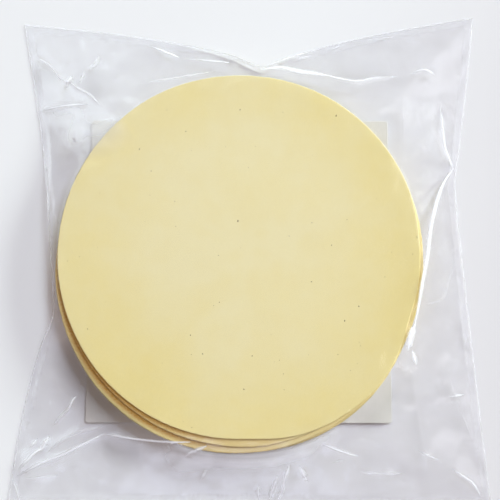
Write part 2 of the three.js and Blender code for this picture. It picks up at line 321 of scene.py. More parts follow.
class PapadumLook(bpy.types.PropertyGroup):
    """Sizes and colours of the papadums."""

    pale: FloatVectorProperty(
        name="Pale", description="Colour of the dry dough",
        default=(0.835, 0.75, 0.45), min=0, max=1, size=3, subtype="COLOR")
    # Painted shade: the brown mixed into the dough close under another papadum's rim.
    brown: FloatVectorProperty(
        name="Brown", description="Colour of the dough close under another papadum",
        default=(0.53, 0.28, 0.05), min=0, max=1, size=3, subtype="COLOR")
    golden: FloatVectorProperty(
        name="Golden", description="Deeper colour towards the front and the rim",
        default=(0.80, 0.68, 0.305), min=0, max=1, size=3, subtype="COLOR")
    fleck: FloatVectorProperty(
        name="Fleck", description="Colour of the bits of husk in the dough",
        default=(0.13, 0.085, 0.035), min=0, max=1, size=3, subtype="COLOR")
    pale_fleck: FloatVectorProperty(
        name="Pale fleck", description="Colour of the palest bits of husk",
        default=(0.30, 0.20, 0.08), min=0, max=1, size=3, subtype="COLOR")
    thickness: FloatProperty(
        name="Thickness", description="Thickness of a papadum",
        default=0.6 * MM, min=0, unit="LENGTH")
    rim_wander: FloatProperty(
        name="Rim wander", description="How far the outline strays from a circle",
        default=0.5 * MM, min=0, unit="LENGTH")
    rim_bulge: FloatProperty(
        name="Rim bulge", description="How far the top papadum stands out at the front right",
        default=3.2 * MM, min=0, unit="LENGTH")
    rim_flat: FloatProperty(
        name="Rim flat", description="How far the papadums are flattened on the right side",
        default=1.3 * MM, min=0, unit="LENGTH")
    rim_nicks: FloatProperty(
        name="Rim nicks", description="Depth of the small nicks in the cut edge",
        default=0.25 * MM, min=0, unit="LENGTH")
    relief: FloatProperty(
        name="Relief", description="Height of the soft unevenness of the rolled dough",
        default=0.12 * MM, min=0, unit="LENGTH")
    small_flecks: IntProperty(
        name="Small flecks", description="Number of flecks scattered over the top papadum",
        default=46, min=0)


class CardLook(bpy.types.PropertyGroup):
    """Colours and sizes of the card."""

    board: FloatVectorProperty(
        name="Board", description="Colour of the card",
        default=(0.73, 0.715, 0.67), min=0, max=1, size=3, subtype="COLOR")
    fibre: FloatVectorProperty(
        name="Fibre", description="Colour of the fibres in the card",
        default=(0.62, 0.60, 0.56), min=0, max=1, size=3, subtype="COLOR")
    turn: FloatProperty(
        name="Turn", description="How far the card is turned",
        default=math.radians(-0.15), subtype="ANGLE")
    corner: FloatProperty(
        name="Corner", description="Radius of the card's worn corners",
        default=1.2 * MM, min=0, unit="LENGTH")


class StageLook(bpy.types.PropertyGroup):
    """Floor, light and camera."""

    floor: FloatVectorProperty(
        name="Floor", description="Colour of the floor",
        default=(0.81, 0.815, 0.825), min=0, max=1, size=3, subtype="COLOR")
    # Painted shade: the floor is greyer towards the front right, as though further from the light.
    shaded_floor: FloatVectorProperty(
        name="Far floor", description="Colour of the floor at the front right, away from the light",
        default=(0.725, 0.71, 0.725), min=0, max=1, size=3, subtype="COLOR")
    fill: FloatVectorProperty(
        name="Fill", description="Colour and strength of the even light from all round",
        default=(0.285, 0.225, 0.172), min=0, size=3, subtype="COLOR")
    wall: FloatVectorProperty(
        name="Wall", description="Colour of the room behind the floor",
        default=(0.78, 0.79, 0.81), min=0, max=1, size=3, subtype="COLOR")
    camera_distance: FloatProperty(
        name="Camera distance", description="Distance from the camera to the stack's top",
        default=0.42, min=0.1, unit="LENGTH")
    camera_tilt: FloatProperty(
        name="Camera tilt", description="How far the camera leans from straight down",
        default=math.radians(6), subtype="ANGLE")
    camera_aim: FloatVectorProperty(
        name="Camera aim", description="Place the camera looks at, from the middle of the stack's top",
        default=(4.96 * MM, 1.59 * MM), size=2, unit="LENGTH")
    frame_width: FloatProperty(
        name="Frame width", description="Width of the picture at the stack's top",
        default=0.2452, min=0.01, unit="LENGTH")


class BagSettings(bpy.types.PropertyGroup):
    """All settings of the bag of papadums."""

    film: PointerProperty(type=FilmLook)
    papadum: PointerProperty(type=PapadumLook)
    card: PointerProperty(type=CardLook)
    stage: PointerProperty(type=StageLook)


class Wire:
    """A socket of a node tree. Arithmetic on wires and numbers adds Math nodes, node() adds any other."""

    def __init__(self, tree, socket=None):
        self.tree = tree
        self.socket = socket

    def node(self, kind, settings=None, sockets=None, output=0):
        """Adds a node, sets its settings, then its sockets from numbers, colours or wires."""
        made = self.tree.nodes.new(kind)
        for name, value in (settings or {}).items():
            setattr(made, name, value)
        for key, value in (sockets or {}).items():
            if isinstance(value, Wire):
                self.tree.links.new(value.socket, made.inputs[key])
            else:
                made.inputs[key].default_value = value
        return Wire(self.tree, made.outputs[output] if made.outputs else None)

    def other(self, output):
        """Another output of the node this wire comes from."""
        return Wire(self.tree, self.socket.node.outputs[output])

    def math(self, operation, *values):
        return self.node("ShaderNodeMath", {"operation": operation}, dict(enumerate(values)))

    def __add__(self, value):
        return self.math("ADD", self, value)

    def __radd__(self, value):
        return self.math("ADD", value, self)

    def __sub__(self, value):
        return self.math("SUBTRACT", self, value)

    def __rsub__(self, value):
        return self.math("SUBTRACT", value, self)

    def __mul__(self, value):
        return self.math("MULTIPLY", self, value)

    def __rmul__(self, value):
        return self.math("MULTIPLY", value, self)

    def __pow__(self, value):
        return self.math("POWER", self, value)

    def clamp(self):
        """This wire kept between 0 and 1."""
        return self.node("ShaderNodeClamp", None, {0: self})

    def mix(self, low, high):
        """The colour between two colours, by this wire as the share of the second."""
        return self.node("ShaderNodeMix", {"data_type": "RGBA"}, {0: self, 6: low, 7: high}, 2)

    def band(self, start, end):
        """0 where this wire is at start, 1 at end, smooth between."""
        sockets = {"Value": self, "From Min": start, "From Max": end}
        return self.node("ShaderNodeMapRange", {"interpolation_type": "SMOOTHSTEP"}, sockets)

    def noise(self, scale, detail=2.0, roughness=0.5):
        """Noise from 0 to 1 with this wire as its place, in waves of about 1 / scale."""
        sockets = {"Vector": self, "Scale": scale, "Detail": detail, "Roughness": roughness}
        return self.node("ShaderNodeTexNoise", None, sockets)

    def bump(self, strength, distance):
        """A normal for a shader, with this wire as the height of the surface."""
        sockets = {"Strength": strength, "Distance": distance, "Height": self}
        return self.node("ShaderNodeBump", None, sockets)


def opaque(colour):
    return (*colour, 1.0)


def new_material(name):
    """An empty node material, and the wire to start its nodes from."""
    material = bpy.data.materials.new(name)
    material.use_nodes = True
    material.node_tree.nodes.clear()
    return material, Wire(material.node_tree)


def show_surface(start, shader):
    start.node("ShaderNodeOutputMaterial", None, {"Surface": shader})


def principled(start, sockets):
    return start.node("ShaderNodeBsdfPrincipled", None, sockets)


def object_place(start):
    return start.node("ShaderNodeTexCoord", output="Object")


def point_mark(start, name):
    """A number that the mesh holds at each of its points."""
    return start.node("ShaderNodeAttribute", {"attribute_name": name}, None, "Fac")


# A deeper golden patch, from the stack's middle, and the distances where its colour starts and is full.
GOLDEN_PATCH = (-54 * MM, -55 * MM)
GOLDEN_PATCH_REACH = (60 * MM, 8 * MM)


def papadum_material(look):
    """Dry dough: pale yellow and mottled, more golden at the front and the rim, with painted shade in brown
    close under another papadum's rim.
    """
    material, start = new_material("dry papadum dough")
    place = object_place(start)
    axes = place.node("ShaderNodeSeparateXYZ", None, {0: place})
    across = axes - STACK_MIDDLE.x
    along = axes.other(1) - STACK_MIDDLE.y
    reach = (across * across + along * along) ** 0.5
    rim = reach.band(0.5 * STACK_RADIUS, 0.97 * STACK_RADIUS)
    front = (along * -1).band(-0.6 * STACK_RADIUS, STACK_RADIUS)
    right = (across + along * 0.3).band(0.3 * STACK_RADIUS, STACK_RADIUS)
    patch_x, patch_y = GOLDEN_PATCH
    patch_reach = ((across - patch_x) ** 2 + (along - patch_y) ** 2) ** 0.5
    patch = patch_reach.band(*GOLDEN_PATCH_REACH)
    mottle = place.noise(34, 4, 0.55)
    cloud = place.noise(120, 3, 0.6)
    grain = place.noise(1500, 3, 0.6)
    golden = front * 0.26 + rim * 0.42 + right * 0.3 + patch * 0.32
    golden = golden + mottle.band(0.32, 0.68) * 0.3 + (cloud - 0.5) * 0.5 - 0.1
    open_dough = golden.clamp().mix(opaque(look.pale), opaque(look.golden))
    # Painted shade: brown close under the rim of the papadum above.
    rim_shade_share = point_mark(start, "painted_rim_shade") * (place.noise(1700, 3).band(0.3, 0.7) * 0.5 + 0.7)
    dough = rim_shade_share.clamp().mix(open_dough, opaque(look.brown))
    shade = (grain - 0.5) * 0.10 + (mottle - 0.5) * 0.06 + 1.0
    colour = dough.node("ShaderNodeVectorMath", {"operation": "SCALE"}, {0: dough, "Scale": shade})
    sockets = {"Base Color": colour, "Roughness": (grain - 0.5) * 0.25 + 0.74, "Specular IOR Level": 0.15}
    sockets["Normal"] = (grain + cloud).bump(0.25, 0.1 * MM)
    show_surface(start, principled(start, sockets))
    return material


def fleck_material(look):
    """Bits of husk, each a slightly different brown."""
    material, start = new_material("husk fleck")
    place = object_place(start)
    tone = place.noise(260, 1).band(0.35, 0.65)
    colour = tone.mix(opaque(look.fleck), opaque(look.pale_fleck))
    sockets = {"Base Color": colour, "Roughness": place.noise(2500, 1) * 0.3 + 0.5}
    show_surface(start, principled(start, sockets))
    return material


def card_material(look):
    """Uncoated grey board with short fibres."""
    material, start = new_material("uncoated grey board")
    place = object_place(start)
    stretched = place.node("ShaderNodeMapping", None, {"Vector": place, "Scale": (1.0, 0.22, 1.0)})
    fibre = stretched.noise(900, 4, 0.65).band(0.38, 0.72)
    cloud = place.noise(45, 3)
    colour = (fibre * 0.2 + cloud.band(0.3, 0.7) * 0.25).mix(opaque(look.board), opaque(look.fibre))
    sockets = {"Base Color": colour, "Roughness": fibre * -0.15 + 0.85}
    sockets["Normal"] = fibre.bump(0.2, 0.08 * MM)
    show_surface(start, principled(start, sockets))
    return material


def film_material(look):
    """Thin clear film that mirrors more the more aslant it is seen, with marked places of painted light and
    shade: white crease lines that are partly painted highlights, painted sheen and painted shade.
    """
    material, start = new_material("clear packing film")
    place = object_place(start)
    facing = start.node("ShaderNodeLayerWeight", None, {"Blend": 0.5}, "Facing")
    haze = place.noise(70, 3).band(0.35, 0.8)
    mirror = facing ** 5 * (1 - look.shine) + look.shine + haze * 0.015
    clear = start.node("ShaderNodeBsdfTransparent", None, {"Color": opaque(look.tint)})
    gloss = {"Base Color": opaque(look.sheen), "Metallic": 1.0, "Roughness": haze * 0.08 + look.roughness}
    gloss["Normal"] = place.noise(420, 3, 0.6).bump(0.12, 0.2 * MM)
    film = start.node("ShaderNodeMixShader", None, {0: mirror, 1: clear, 2: principled(start, gloss)})
    # The shade mark mixes in painted shade; the white mark mixes in the film's whitening together with
    # painted highlights and painted sheen.
    for name, colour in (("shade", look.painted_shade_colour), ("white", look.cloudy)):
        marked = principled(start, {"Base Color": opaque(colour), "Roughness": haze * 0.1 + 0.3})
        film = start.node("ShaderNodeMixShader", None, {0: point_mark(start, name), 1: film, 2: marked})
    show_surface(start, film)
    return material


def floor_material(look):
    """Plain pale floor with a trace of unevenness, and painted shade that greys it towards the front right.
    """
    material, start = new_material("pale floor")
    place = object_place(start)
    axes = place.node("ShaderNodeSeparateXYZ", None, {0: place})
    cloud = place.noise(9, 2) - 0.5
    # Painted shade towards the front right.
    far = (axes * 0.9 - axes.other(1) * 0.25 + cloud * 0.02).band(-0.02, 0.14)
    colour = far.mix(opaque(look.floor), opaque(look.shaded_floor))
    sockets = {"Base Color": colour, "Roughness": cloud * 0.1 + 0.7, "Specular IOR Level": 0.2}
    show_surface(start, principled(start, sockets))
    return material


def add_object(name, mesh):
    piece = bpy.data.objects.new(name, mesh)
    bpy.context.scene.collection.objects.link(piece)
    return piece


def mesh_from(name, points, faces, material):
    """A smooth mesh from arrays of points and faces."""
    mesh = bpy.data.meshes.new(name)
    mesh.from_pydata(points.tolist(), [], faces.tolist())
    mesh.materials.append(material)
    mesh.shade_smooth()
    mesh.update()
    return mesh


def mark_points(mesh, name, values):
    """Stores a number at each point of a mesh, for its material or its nodes."""
    mesh.attributes.new(name, "FLOAT", "POINT").data.foreach_set("value", values.astype(np.float32))


def keep_result(piece, modifier):
    """Keeps what a modifier makes as the piece's plain mesh."""
    graph = bpy.context.evaluated_depsgraph_get()
    result = bpy.data.meshes.new_from_object(piece.evaluated_get(graph))
    piece.modifiers.remove(modifier)
    result.name = piece.name
    piece.data = result
    if not result.polygons:
        raise RuntimeError(f"{piece.name} came out empty")


def node_group(name, inputs):
    """A Geometry Nodes group with named inputs, and the wires of those inputs by name."""
    tree = bpy.data.node_groups.new(name, "GeometryNodeTree")
    tree.is_modifier = True
    tree.interface.new_socket("Geometry", in_out="INPUT", socket_type="NodeSocketGeometry")
    tree.interface.new_socket("Geometry", in_out="OUTPUT", socket_type="NodeSocketGeometry")
    for label, kind in inputs:
        tree.interface.new_socket(label, in_out="INPUT", socket_type="NodeSocket" + kind)
    source = tree.nodes.new("NodeGroupInput")
    wires = {socket.name: Wire(tree, socket) for socket in source.outputs if socket.name}
    return tree, wires


def close_group(tree, geometry, material):
    """Ends a group: instances made real, then the material set."""
    real = geometry.node("GeometryNodeRealizeInstances", None, {"Geometry": geometry})
    dressed = real.node("GeometryNodeSetMaterial", None, {"Geometry": real, "Material": material})
    dressed.node("NodeGroupOutput", None, {"Geometry": dressed})


def apply_group(piece, tree, values):
    """Runs a group on a piece with the given inputs and keeps the result as the piece's plain mesh."""
    modifier = piece.modifiers.new(tree.name, "NODES")
    modifier.node_group = tree
    for item in tree.interface.items_tree:
        if item.in_out == "INPUT" and item.name in values:
            modifier[item.identifier] = values[item.name]
    keep_result(piece, modifier)


# The rims aren't quite round: directions of the bulge and the flat side, and the cosine at which both end.
BULGE_TURN = math.radians(306)
FLAT_TURN = math.radians(350)
BEND_SPREAD = math.cos(math.radians(35))
# How soon a disc is full thickness from its cut edge inwards, and the power that rounds the edge.
EDGE_STEEPNESS = 18
EDGE_POWER = 0.6
WAVES_ROUND = 3
MERGE_DISTANCE = 0.004 * MM


def papadum_group():
    """A papadum as a rule: a grid bent round into a thin disc, waved, with a wandering cut edge."""
    inputs = [
        ("Middle", "Vector"), ("Radius", "Float"), ("Thickness", "Float"), ("Wave", "Float"),
        ("Wave turn", "Float"), ("Rim wander", "Float"), ("Rim nicks", "Float"), ("Relief", "Float"),
        ("Bulge", "Float"), ("Flat", "Float"), ("Seed", "Float"), ("Steps round", "Int"),
        ("Steps across", "Int"), ("Dough", "Material"),
    ]
    tree, given = node_group("papadum disc", inputs)
    start = Wire(tree)
    counts = {"Vertices X": given["Steps round"], "Vertices Y": given["Steps across"]}
    grid = start.node("GeometryNodeMeshGrid", None, {"Size X": 1.0, "Size Y": 1.0, **counts})
    place = start.node("GeometryNodeInputPosition")
    flat = start.node("ShaderNodeSeparateXYZ", None, {0: place})
    angle = (flat + 0.5) * (2 * math.pi)
    side = flat.other(1) * 2
    depth = side.math("ABSOLUTE", side)
    share = 1 - depth ** 2
    right, up = angle.math("COSINE", angle), angle.math("SINE", angle)
    ring = start.node("ShaderNodeCombineXYZ", None, {0: right, 1: up, 2: given["Seed"]})
    wander = (ring.noise(1.4, 1) - 0.5) * 2 * given["Rim wander"]
    nicks = (ring.noise(50, 2) - 0.5) * 2 * given["Rim nicks"]
    bulge = angle.math("COSINE", angle - BULGE_TURN).band(BEND_SPREAD, 1) * given["Bulge"]
    flattened = angle.math("COSINE", angle - FLAT_TURN).band(BEND_SPREAD, 1) * given["Flat"]
    radius = share * (given["Radius"] + wander + nicks + bulge - flattened)
    x, y = radius * right, radius * up
    spot = start.node("ShaderNodeCombineXYZ", None, {0: x, 1: y, 2: given["Seed"]})
    relief = ((spot.noise(38, 2) - 0.5) + (spot.noise(150, 1) - 0.5) * 0.25) * given["Relief"]
    wave = share ** 3 * given["Wave"] * angle.math("SINE", angle * WAVES_ROUND + given["Wave turn"])
    fullness = depth.math("MINIMUM", depth * EDGE_STEEPNESS, 1.0) ** EDGE_POWER
    half = fullness * side.math("SIGN", side) * given["Thickness"] * 0.5
    bent = start.node("ShaderNodeCombineXYZ", None, {0: x, 1: y, 2: half + wave + relief})
    moved = bent.node("ShaderNodeVectorMath", {"operation": "ADD"}, {0: bent, 1: given["Middle"]})
    disc = start.node("GeometryNodeSetPosition", None, {"Geometry": grid, "Position": moved})
    joined = start.node("GeometryNodeMergeByDistance", None, {"Geometry": disc, "Distance": MERGE_DISTANCE})
    close_group(tree, joined, given["Dough"])
    return tree


def fleck_group():
    """Flattened bits set on points, each turned and sized on its own."""
    tree, given = node_group("husk flecks", [("Size", "Float"), ("Seed", "Int"), ("Husk", "Material")])
    start = Wire(tree)
    bit = start.node("GeometryNodeMeshIcoSphere", None, {"Radius": 1.0, "Subdivisions": 1})
    flat = start.node("GeometryNodeTransform", None, {"Geometry": bit, "Scale": (1.0, 0.62, 0.22)})
    turn = {"Min": (-0.15, -0.15, 0.0), "Max": (0.15, 0.15, 2 * math.pi), "Seed": given["Seed"]}
    turned = start.node("FunctionNodeRandomValue", {"data_type": "FLOAT_VECTOR"}, turn)
    own = start.node("GeometryNodeInputNamedAttribute", {"data_type": "FLOAT"}, {"Name": "size"})
    points = {"Points": given["Geometry"], "Instance": flat, "Rotation": turned}
    points["Scale"] = own * given["Size"]
    placed = start.node("GeometryNodeInstanceOnPoints", None, points)
    close_group(tree, placed, given["Husk"])
    return tree


# The darker flecks that show most on the top papadum, in millimetres from its middle, with their sizes.
LARGE_FLECKS = (
    (48, 69, 0.62), (-1, 16, 0.62), (35, -14, 0.4), (58, -26, 0.45), (51, -33, 0.5), (-24, -40, 0.4),
    (-18, -49, 0.42), (-74, -37, 0.36), (-50, 52, 0.42), (-44, 41, 0.36), (-27, 61, 0.36), (0, 72, 0.42),
    (87, 8, 0.42), (45, 4, 0.36), (-10, -24, 0.36), (2, -66, 0.5), (6, -50, 0.42),
)
# Sizes of the small flecks in millimetres, and the share of the disc that they are strewn over.
SMALL_FLECK_SIZES = (0.14, 0.30)
FLECK_AREA = 0.95
FLECK_SEED = 5
FLECK_TURN_SEED = 2

# Painted shade: dough close to the rim of the papadum above it is browner, in a thin line that is darkest
# at the front left, where the shadow falls, and in a fainter wide band at the front. A spread holds cosines
# of the turns where brown starts and is full.
RIM_SHADE_LEAST = 0.2
RIM_SHADE_TURN = math.radians(224)
RIM_SHADE_SPREAD = (0.62, 0.96)
RIM_SHADE_REACH = (0.5 * MM, 3.6 * MM)
FRONT_SHADE_SHARE = 0.34
FRONT_SHADE_TURN = math.radians(267)
FRONT_SHADE_SPREAD = (0.927, 0.985)
FRONT_SHADE_REACH = (6 * MM, 9 * MM)

# Steps round and across a disc, and how the lower ones differ from each other and from the top one.
TOP_STEPS = (721, 91)
LOWER_STEPS = (481, 47)
LOWER_WANDER = 3
WAVE_TURN_STEP = 0.15
SEED_STEP = 3.7


class PAPADUM_OT_papadums(bpy.types.Operator):
    """Makes the stacked papadums and the flecks of husk in the top one"""

    bl_idname = "papadum_bag.papadums"
    bl_label = "Papadums"

    def execute(self, context):
        look = context.scene.papadum_bag.papadum
        dough = papadum_material(look)
        group = papadum_group()
        for number, node in enumerate(PAPADUM_NODES, start=1):
            low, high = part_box(node)
            top = node == TOP_NODE
            steps_round, steps_across = TOP_STEPS if top else LOWER_STEPS
            piece = add_object(f"papadum_dough_{number:02d}", bpy.data.meshes.new(node))
            apply_group(piece, group, {
                "Middle": (low + high) / 2,
                "Radius": (high.x - low.x + high.y - low.y) / 4,
                "Thickness": look.thickness,
                "Wave": (high.z - low.z - look.thickness) / 2,
                "Wave turn": WAVE_TURN_STEP * number,
                "Rim wander": look.rim_wander if top else LOWER_WANDER * look.rim_wander,
                "Rim nicks": look.rim_nicks,
                "Relief": look.relief,
                "Bulge": look.rim_bulge if top else 0.0,
                "Flat": look.rim_flat,
                "Seed": SEED_STEP * number,
                "Steps round": steps_round,
                "Steps across": steps_across,
                "Dough": dough,
            })
            piece.data.shade_smooth()
            self.mark_painted_rim_shade(piece, number)
            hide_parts(node)
            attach(piece, BODY)
        self.add_flecks(look, piece)
        return {"FINISHED"}

    def mark_painted_rim_shade(self, piece, number):
        """Marks painted shade on the dough that lies under another papadum or close to its rim, darkest at
        the front left where the shadow falls.
        """
        places = np.array([vertex.co[:2] for vertex in piece.data.vertices])
        clear = np.full(len(places), np.inf)
        for node in PAPADUM_NODES[number:]:
            low, high = (np.array(corner[:2]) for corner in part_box(node))
            away = np.linalg.norm(places - (low + high) / 2, axis=1)
            clear = np.minimum(clear, away - (high - low).sum() / 4)
        out = places - np.array(STACK_MIDDLE[:2])
        turn = np.arctan2(out[:, 1], out[:, 0])
        line = smooth_step(np.cos(turn - RIM_SHADE_TURN), *RIM_SHADE_SPREAD)
        painted_rim_shade = RIM_SHADE_LEAST + (1 - RIM_SHADE_LEAST) * line
        painted_rim_shade *= 1 - smooth_step(clear, *RIM_SHADE_REACH)
        front = FRONT_SHADE_SHARE * smooth_step(np.cos(turn - FRONT_SHADE_TURN), *FRONT_SHADE_SPREAD)
        painted_rim_shade = np.maximum(painted_rim_shade, front * (1 - smooth_step(clear, *FRONT_SHADE_REACH)))
        mark_points(piece.data, "painted_rim_shade", painted_rim_shade)

    def add_flecks(self, look, top):
        """Sets the flecks on the top papadum's own surface."""
        random = np.random.default_rng(FLECK_SEED)
        turn = random.uniform(0, 2 * math.pi, look.small_flecks)
        reach = PLAN_RADIUS * np.sqrt(random.uniform(0, FLECK_AREA, look.small_flecks))
        size = random.uniform(*SMALL_FLECK_SIZES, look.small_flecks)
        small = np.stack([reach * np.cos(turn), reach * np.sin(turn), size], axis=1)
        flecks = np.concatenate([np.array(LARGE_FLECKS), small])
        places = [vertex.co for vertex in top.data.vertices]
        tree = BVHTree.FromPolygons(places, [face.vertices for face in top.data.polygons])
        points = []
        for x, y, _ in flecks:
            above = Vector((STACK_MIDDLE.x + x * MM, STACK_MIDDLE.y + y * MM, 1.0))
            hit = tree.ray_cast(above, Vector((0, 0, -1)))[0]
            if hit is None:
                raise RuntimeError("a fleck misses the top papadum")
            points.append(hit)
        mesh = bpy.data.meshes.new("husk_flecks")
        mesh.from_pydata(points, [], [])
        mark_points(mesh, "size", flecks[:, 2])
        piece = add_object("husk_flecks", mesh)
        husk = fleck_material(look)
        apply_group(piece, fleck_group(), {"Size": MM, "Seed": FLECK_TURN_SEED, "Husk": husk})
        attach(piece, BODY)


CARD_BEVEL = 0.12 * MM


class PAPADUM_OT_card(bpy.types.Operator):
    """Makes the square of card under the stack"""

    bl_idname = "papadum_bag.card"
    bl_label = "Card"

    def execute(self, context):
        look = context.scene.papadum_bag.card
        low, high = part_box("backing_card")
        middle = (low + high) / 2
        cosine, sine = math.cos(look.turn), abs(math.sin(look.turn))
        spread = high - low
        square = cosine * cosine - sine * sine
        width = (spread.x * cosine - spread.y * sine) / square
        length = (spread.y * cosine - spread.x * sine) / square
        points, faces = rounded_board(width, length, spread.z, look.corner)
        turn = np.array(Matrix.Rotation(look.turn, 3, "Z"))
        points = points @ turn.T + np.array(middle)
        mesh = mesh_from("grey_board", points, faces, card_material(look))
        mesh.shade_flat()
        piece = add_object("grey_board", mesh)
        bevel = piece.modifiers.new("softened edge", "BEVEL")
        bevel.width = CARD_BEVEL
        bevel.segments = 2
        bevel.limit_method = "ANGLE"
        keep_result(piece, bevel)
        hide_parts("backing_card")
        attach(piece, BODY)
        return {"FINISHED"}


def rounded_board(width, length, thickness, corner, corner_steps=6):
    """Points and faces of a flat board with rounded corners, about its own middle."""
    ring = []
    for quarter in range(4):
        angles = np.linspace(0, math.pi / 2, corner_steps) + quarter * math.pi / 2
        sign_x = 1 if quarter in (0, 3) else -1
        sign_y = 1 if quarter in (0, 1) else -1
        centre = np.array([sign_x * (width / 2 - corner), sign_y * (length / 2 - corner)])
        ring.append(centre + corner * np.stack([np.cos(angles), np.sin(angles)], axis=1))
    ring = np.concatenate(ring)
    count = len(ring)
    low = np.column_stack([ring, np.full(count, -thickness / 2)])
    high = np.column_stack([ring, np.full(count, thickness / 2)])
    middles = np.array([[0, 0, -thickness / 2], [0, 0, thickness / 2]])
    here = np.arange(count)
    after = (here + 1) % count
    walls = np.concatenate([
        np.stack([here, after, after + count], axis=1),
        np.stack([here, after + count, here + count], axis=1),
    ])
    below = np.stack([np.full(count, 2 * count), after, here], axis=1)
    above = np.stack([np.full(count, 2 * count + 1), here + count, after + count], axis=1)
    return np.concatenate([low, high, middles]), np.concatenate([walls, below, above])


def smooth_step(value, start, end):
    share = np.clip((value - start) / (end - start), 0, 1)
    return share * share * (3 - 2 * share)


def rim_bend(turn, dough, top):
    """How far a papadum's rim stands out from its circle at bearings about its middle, in millimetres."""
    bend = -dough.rim_flat * smooth_step(np.cos(turn - FLAT_TURN), BEND_SPREAD, 1)
    if top:
        bend += dough.rim_bulge * smooth_step(np.cos(turn - BULGE_TURN), BEND_SPREAD, 1)
    return bend / MM


def bag_outline():
    """The bag's four sides in metres, from the rim of the flat back panel: front, right, rear and left."""
    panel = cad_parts["bag_back"].data
    # Doubled points are merged and points inside the panel left out.
    places = np.unique(np.round([vertex.co[:2] for vertex in panel.vertices], 6), axis=0)
    places = places[np.linalg.norm(places, axis=1) > 0.5 * STACK_RADIUS]
    places = places[np.argsort(np.arctan2(places[:, 1], places[:, 0]))]
    corners = [np.argmax(places @ np.array(way)) for way in ((-1, -1), (1, -1), (1, 1), (-1, 1))]
    sides = []
    for first, last in zip(corners, corners[1:] + corners[:1]):
        steps = (last - first) % len(places)
        sides.append(places[(first + np.arange(steps + 1)) % len(places)])
    return sides


def along_path(path, shares):
    """Places at the given shares of a path's length, on a smooth curve through its points."""
    lengths = np.concatenate([[0], np.cumsum(np.linalg.norm(np.diff(path, axis=0), axis=1))])
    slopes = np.gradient(path, lengths, axis=0)
    where = np.asarray(shares) * lengths[-1]
    run = np.clip(np.searchsorted(lengths, where, side="right") - 1, 0, len(path) - 2)
    span = (lengths[run + 1] - lengths[run])[:, None]
    t = (where - lengths[run])[:, None] / span
    start, end = path[run], path[run + 1]
    leave, arrive = slopes[run] * span, slopes[run + 1] * span
    bend = (2 * t**3 - 3 * t**2 + 1) * start + (t**3 - 2 * t**2 + t) * leave
    return bend + (3 * t**2 - 2 * t**3) * end + (t**3 - t**2) * arrive


def path_distance(plan, path):
    """How far each place is from a path of straight runs, the path's share nearest to it, and its side."""
    lengths = np.linalg.norm(np.diff(path, axis=0), axis=1)
    nearest = np.full(len(plan), np.inf)
    share = np.zeros(len(plan))
    side = np.zeros(len(plan))
    before = 0.0
    for start, end, length in zip(path[:-1], path[1:], lengths):
        along = end - start
        t = np.clip((plan - start) @ along / length**2, 0, 1)
        away = np.linalg.norm(plan - start - t[:, None] * along, axis=1)
        closer = away < nearest
        left = np.sign(along[0] * (plan[:, 1] - start[1]) - along[1] * (plan[:, 0] - start[0]))
        nearest = np.where(closer, away, nearest)
        share = np.where(closer, (before + t * length) / lengths.sum(), share)
        side = np.where(closer, left, side)
        before += length
    return nearest, share, side


def edge_room(plan, outline):
    """How far each place is from a closed outline."""
    return path_distance(plan, np.concatenate([outline, outline[:1]]))[0]


def toward(turn):
    return np.array([math.cos(turn), math.sin(turn)])


def line_width(crease, share):
    """Half the width of a crease's white line at shares of its way. It is pointed at both ends."""
    return crease.line * np.clip(LINE_TAPER * np.minimum(share, 1 - share) + LINE_TIP, 0, 1)


def film_creases(crinkles, outline):
    """All creases, with their ways made smooth, and short random ones in the film between them."""
    creases = []
    for crease in CREASES:
        way = np.array(crease.way, float)
        steps = max(3, round(np.linalg.norm(np.diff(way, axis=0), axis=1).sum() / WAY_STEP))
        way = along_path(way, np.linspace(0, 1, steps))
        way = way[inside(way, outline) & (edge_room(way, outline) > WAY_EDGE_ROOM)]
        if len(way) < 2:
            raise RuntimeError(f"the crease at the {crease.name} lies outside the bag")
        creases.append(crease._replace(way=way))
    random = np.random.default_rng(CRINKLE_SEED)
    while len(creases) < len(CREASES) + crinkles:
        turn = random.uniform(0, 2 * math.pi)
        middle = PLAN_RADIUS * random.uniform(*CRINKLE_REACH) * toward(turn)
        heading = turn + random.normal(0, CRINKLE_STRAY)
        half = random.uniform(*CRINKLE_HALF) * toward(heading)
        way = np.array([middle - half, middle, middle + half])
        fold, crest = random.uniform(*CRINKLE_FOLD), random.uniform(*CRINKLE_CREST)
        taken = np.concatenate([outline, *(crease.way for crease in creases)])
        clear = np.linalg.norm(taken[:, None] - way, axis=2).min()
        if clear > CRINKLE_ROOM and inside(way, outline).all():
            width = random.uniform(*CRINKLE_WIDTH)
            creases.append(Crease("crinkle", way, width, fold, crest, white=(0, 0)))
    return creases


def crease_relief(plan, creases):
    """Height in millimetres, and the whiteness and shade that the creases give at places in millimetres:
    white lines that are partly painted highlights, and sides of painted sheen or painted shade.
    """
    height = np.zeros(len(plan))
    white = np.zeros(len(plan))
    painted_light_and_shade = np.zeros(len(plan))
    for crease in creases:
        away, share, side = path_distance(plan, crease.way)
        fullness = 1 - (2 * share - 1) ** 4
        height += fullness * crease.fold * np.clip(1 - away / crease.fold_width, 0, 1)
        height += fullness * crease.crest * np.clip(1 - away / CREST_REACH, 0, 1)
        start, end = crease.white
        line = (start + (end - start) * share) * np.clip(1 - away / line_width(crease, share), 0, 1)
        white = np.maximum(white, line)
        # Painted sheen on a side whose value is above 0, painted shade on a side whose value is below 0.
        left, right = crease.painted_light_and_shade
        rise = np.clip(1 - away / crease.painted_light_reach, 0, 1)
        if left != right:
            rise *= np.clip(away / PAINTED_LIGHT_RISE, 0, 1)
        painted_light_and_shade += fullness * rise * np.where(side > 0, left, right)
    return height, np.maximum(white, np.clip(painted_light_and_shade, 0, 1)), np.clip(-painted_light_and_shade, 0, 1)


